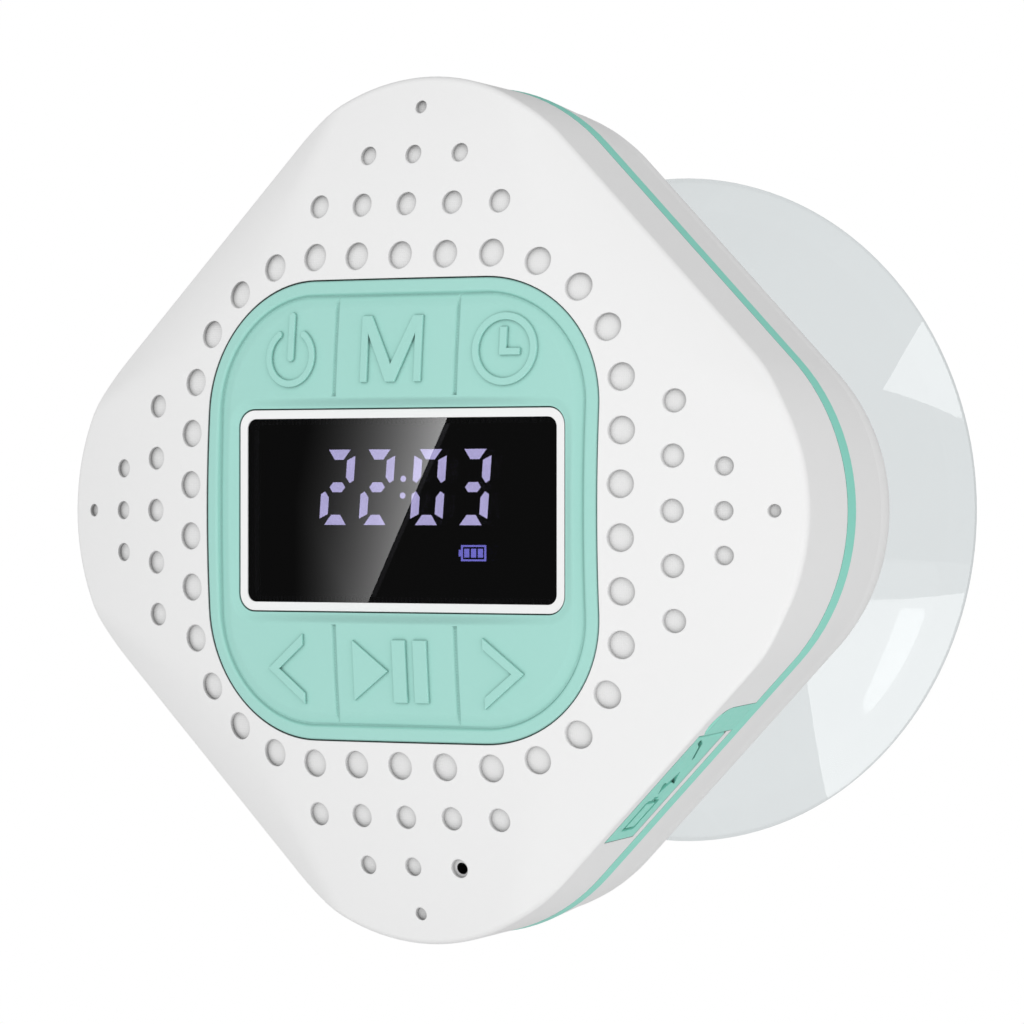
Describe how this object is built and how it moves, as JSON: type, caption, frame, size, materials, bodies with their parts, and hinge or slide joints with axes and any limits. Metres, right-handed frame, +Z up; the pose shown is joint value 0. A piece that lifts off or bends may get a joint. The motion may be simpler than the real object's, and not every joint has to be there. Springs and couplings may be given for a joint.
{
  "type": "shower speaker",
  "caption": "Square domed shower speaker standing on one corner, with a perforated face, a silicone control pad round a clock display, a charging flap and a swivelling suction cup.",
  "frame": {"origin": "centre of the ring where the suction cup touches the wall", "axes": "+Z up, +X to the right as seen from the front, the face looks along -Y and the wall is the plane Y = 0"},
  "size_m": [0.12, 0.0804, 0.12],
  "materials": {
    "clear_pvc": "clear, glossy",
    "white_shell": "satin",
    "mint_ring": "satin",
    "mint_silicone": "matte",
    "white_frame": "gloss",
    "smoked_window": "smoked, gloss",
    "display_black": "matte",
    "digit_light": "glowing",
    "icon_light": "glowing",
    "circuit_board": "satin solder mask",
    "gold_contact": "plated",
    "brass_spacer": "turned",
    "screw_steel": "plated",
    "grey_mesh": "woven",
    "metal_can": "stamped",
    "black_rubber": "matte",
    "black_plastic": "moulded",
    "ribbon_film": "satin film",
    "battery_sleeve": "shrink sleeve",
    "amber_tape": "film",
    "red_wire": "insulated",
    "black_foam": "foam",
    "ferrite": "ground",
    "zinc_plate": "zinc plated",
    "spider_cloth": "woven, resin-dipped",
    "cone_paper": "pulp",
    "copper": "wound wire",
    "carbon_pill": "carbon loaded"
  },
  "bodies": {
    "suction_mount": {"suction_cup": "clear_pvc"},
    "housing": {"front_shell": "white_shell", "rear_shell": "white_shell", "trim_ring": "mint_ring", "control_pad": "mint_silicone", "display_frame": "white_frame", "display_window": "smoked_window", "display_module": "display_black", "digit_segments": "digit_light", "battery_indicator": "icon_light", "key_board": "circuit_board", "key_contacts": "gold_contact", "board_spacers": "brass_spacer", "key_board_screws": "screw_steel", "grille_mesh": "grey_mesh", "microphone": "metal_can", "microphone_boot": "black_rubber", "usb_shell": "metal_can", "usb_tongue": "black_plastic", "main_board": "circuit_board", "board_chips": "black_plastic", "main_board_screws": "screw_steel", "ribbon_cable": "ribbon_film", "battery_cell": "battery_sleeve", "battery_tape": "amber_tape", "battery_wires": "red_wire", "speaker_wires": "black_plastic", "driver_basket": "black_plastic", "driver_gasket": "black_foam", "driver_magnet": "ferrite", "driver_yoke": "zinc_plate", "driver_top_plate": "zinc_plate", "driver_surround": "black_rubber", "driver_spider": "spider_cloth", "stem_cap": "white_shell", "shell_screws_set": "screw_steel"},
    "flap": {"port_flap": "mint_ring"},
    "driver_cone": {"cone": "cone_paper", "dust_cap": "cone_paper", "voice_coil": "copper"},
    "key_power": {"key_power": "mint_silicone", "pill_power": "carbon_pill"},
    "key_mode": {"key_mode": "mint_silicone", "pill_mode": "carbon_pill"},
    "key_clock": {"key_clock": "mint_silicone", "pill_clock": "carbon_pill"},
    "key_previous": {"key_previous": "mint_silicone", "pill_previous": "carbon_pill"},
    "key_play_pause": {"key_play_pause": "mint_silicone", "pill_play_pause": "carbon_pill"},
    "key_next": {"key_next": "mint_silicone", "pill_next": "carbon_pill"}
  },
  "joints": [
    {"name": "swivel", "type": "hinge", "parent": "suction_mount", "child": "housing", "pos_m": [0, -0.04, 0], "axis": [0, -1, 0], "continuous": true},
    {"name": "flap_hinge", "type": "hinge", "parent": "housing", "child": "flap", "pos_m": [0.04083, -0.06417, -0.03022], "axis": [0.0582, -0.9966, -0.0582], "range_deg": [0, 100]},
    {"name": "cone_stroke", "type": "slide", "parent": "housing", "child": "driver_cone", "axis": [0, -1, 0], "range_m": [-0.001, 0.001], "stiffness_N_per_m": 1500, "deforming": ["driver_surround", "driver_spider"]},
    {"name": "power_press", "type": "slide", "parent": "housing", "child": "key_power", "axis": [0, 1, 0], "range_m": [0, 0.0008], "stiffness_N_per_m": 900, "springref_m": -0.0006},
    {"name": "mode_press", "type": "slide", "parent": "housing", "child": "key_mode", "axis": [0, 1, 0], "range_m": [0, 0.0008], "stiffness_N_per_m": 900, "springref_m": -0.0006},
    {"name": "clock_press", "type": "slide", "parent": "housing", "child": "key_clock", "axis": [0, 1, 0], "range_m": [0, 0.0008], "stiffness_N_per_m": 900, "springref_m": -0.0006},
    {"name": "previous_press", "type": "slide", "parent": "housing", "child": "key_previous", "axis": [0, 1, 0], "range_m": [0, 0.0008], "stiffness_N_per_m": 900, "springref_m": -0.0006},
    {"name": "play_pause_press", "type": "slide", "parent": "housing", "child": "key_play_pause", "axis": [0, 1, 0], "range_m": [0, 0.0008], "stiffness_N_per_m": 900, "springref_m": -0.0006},
    {"name": "next_press", "type": "slide", "parent": "housing", "child": "key_next", "axis": [0, 1, 0], "range_m": [0, 0.0008], "stiffness_N_per_m": 900, "springref_m": -0.0006}
  ]
}
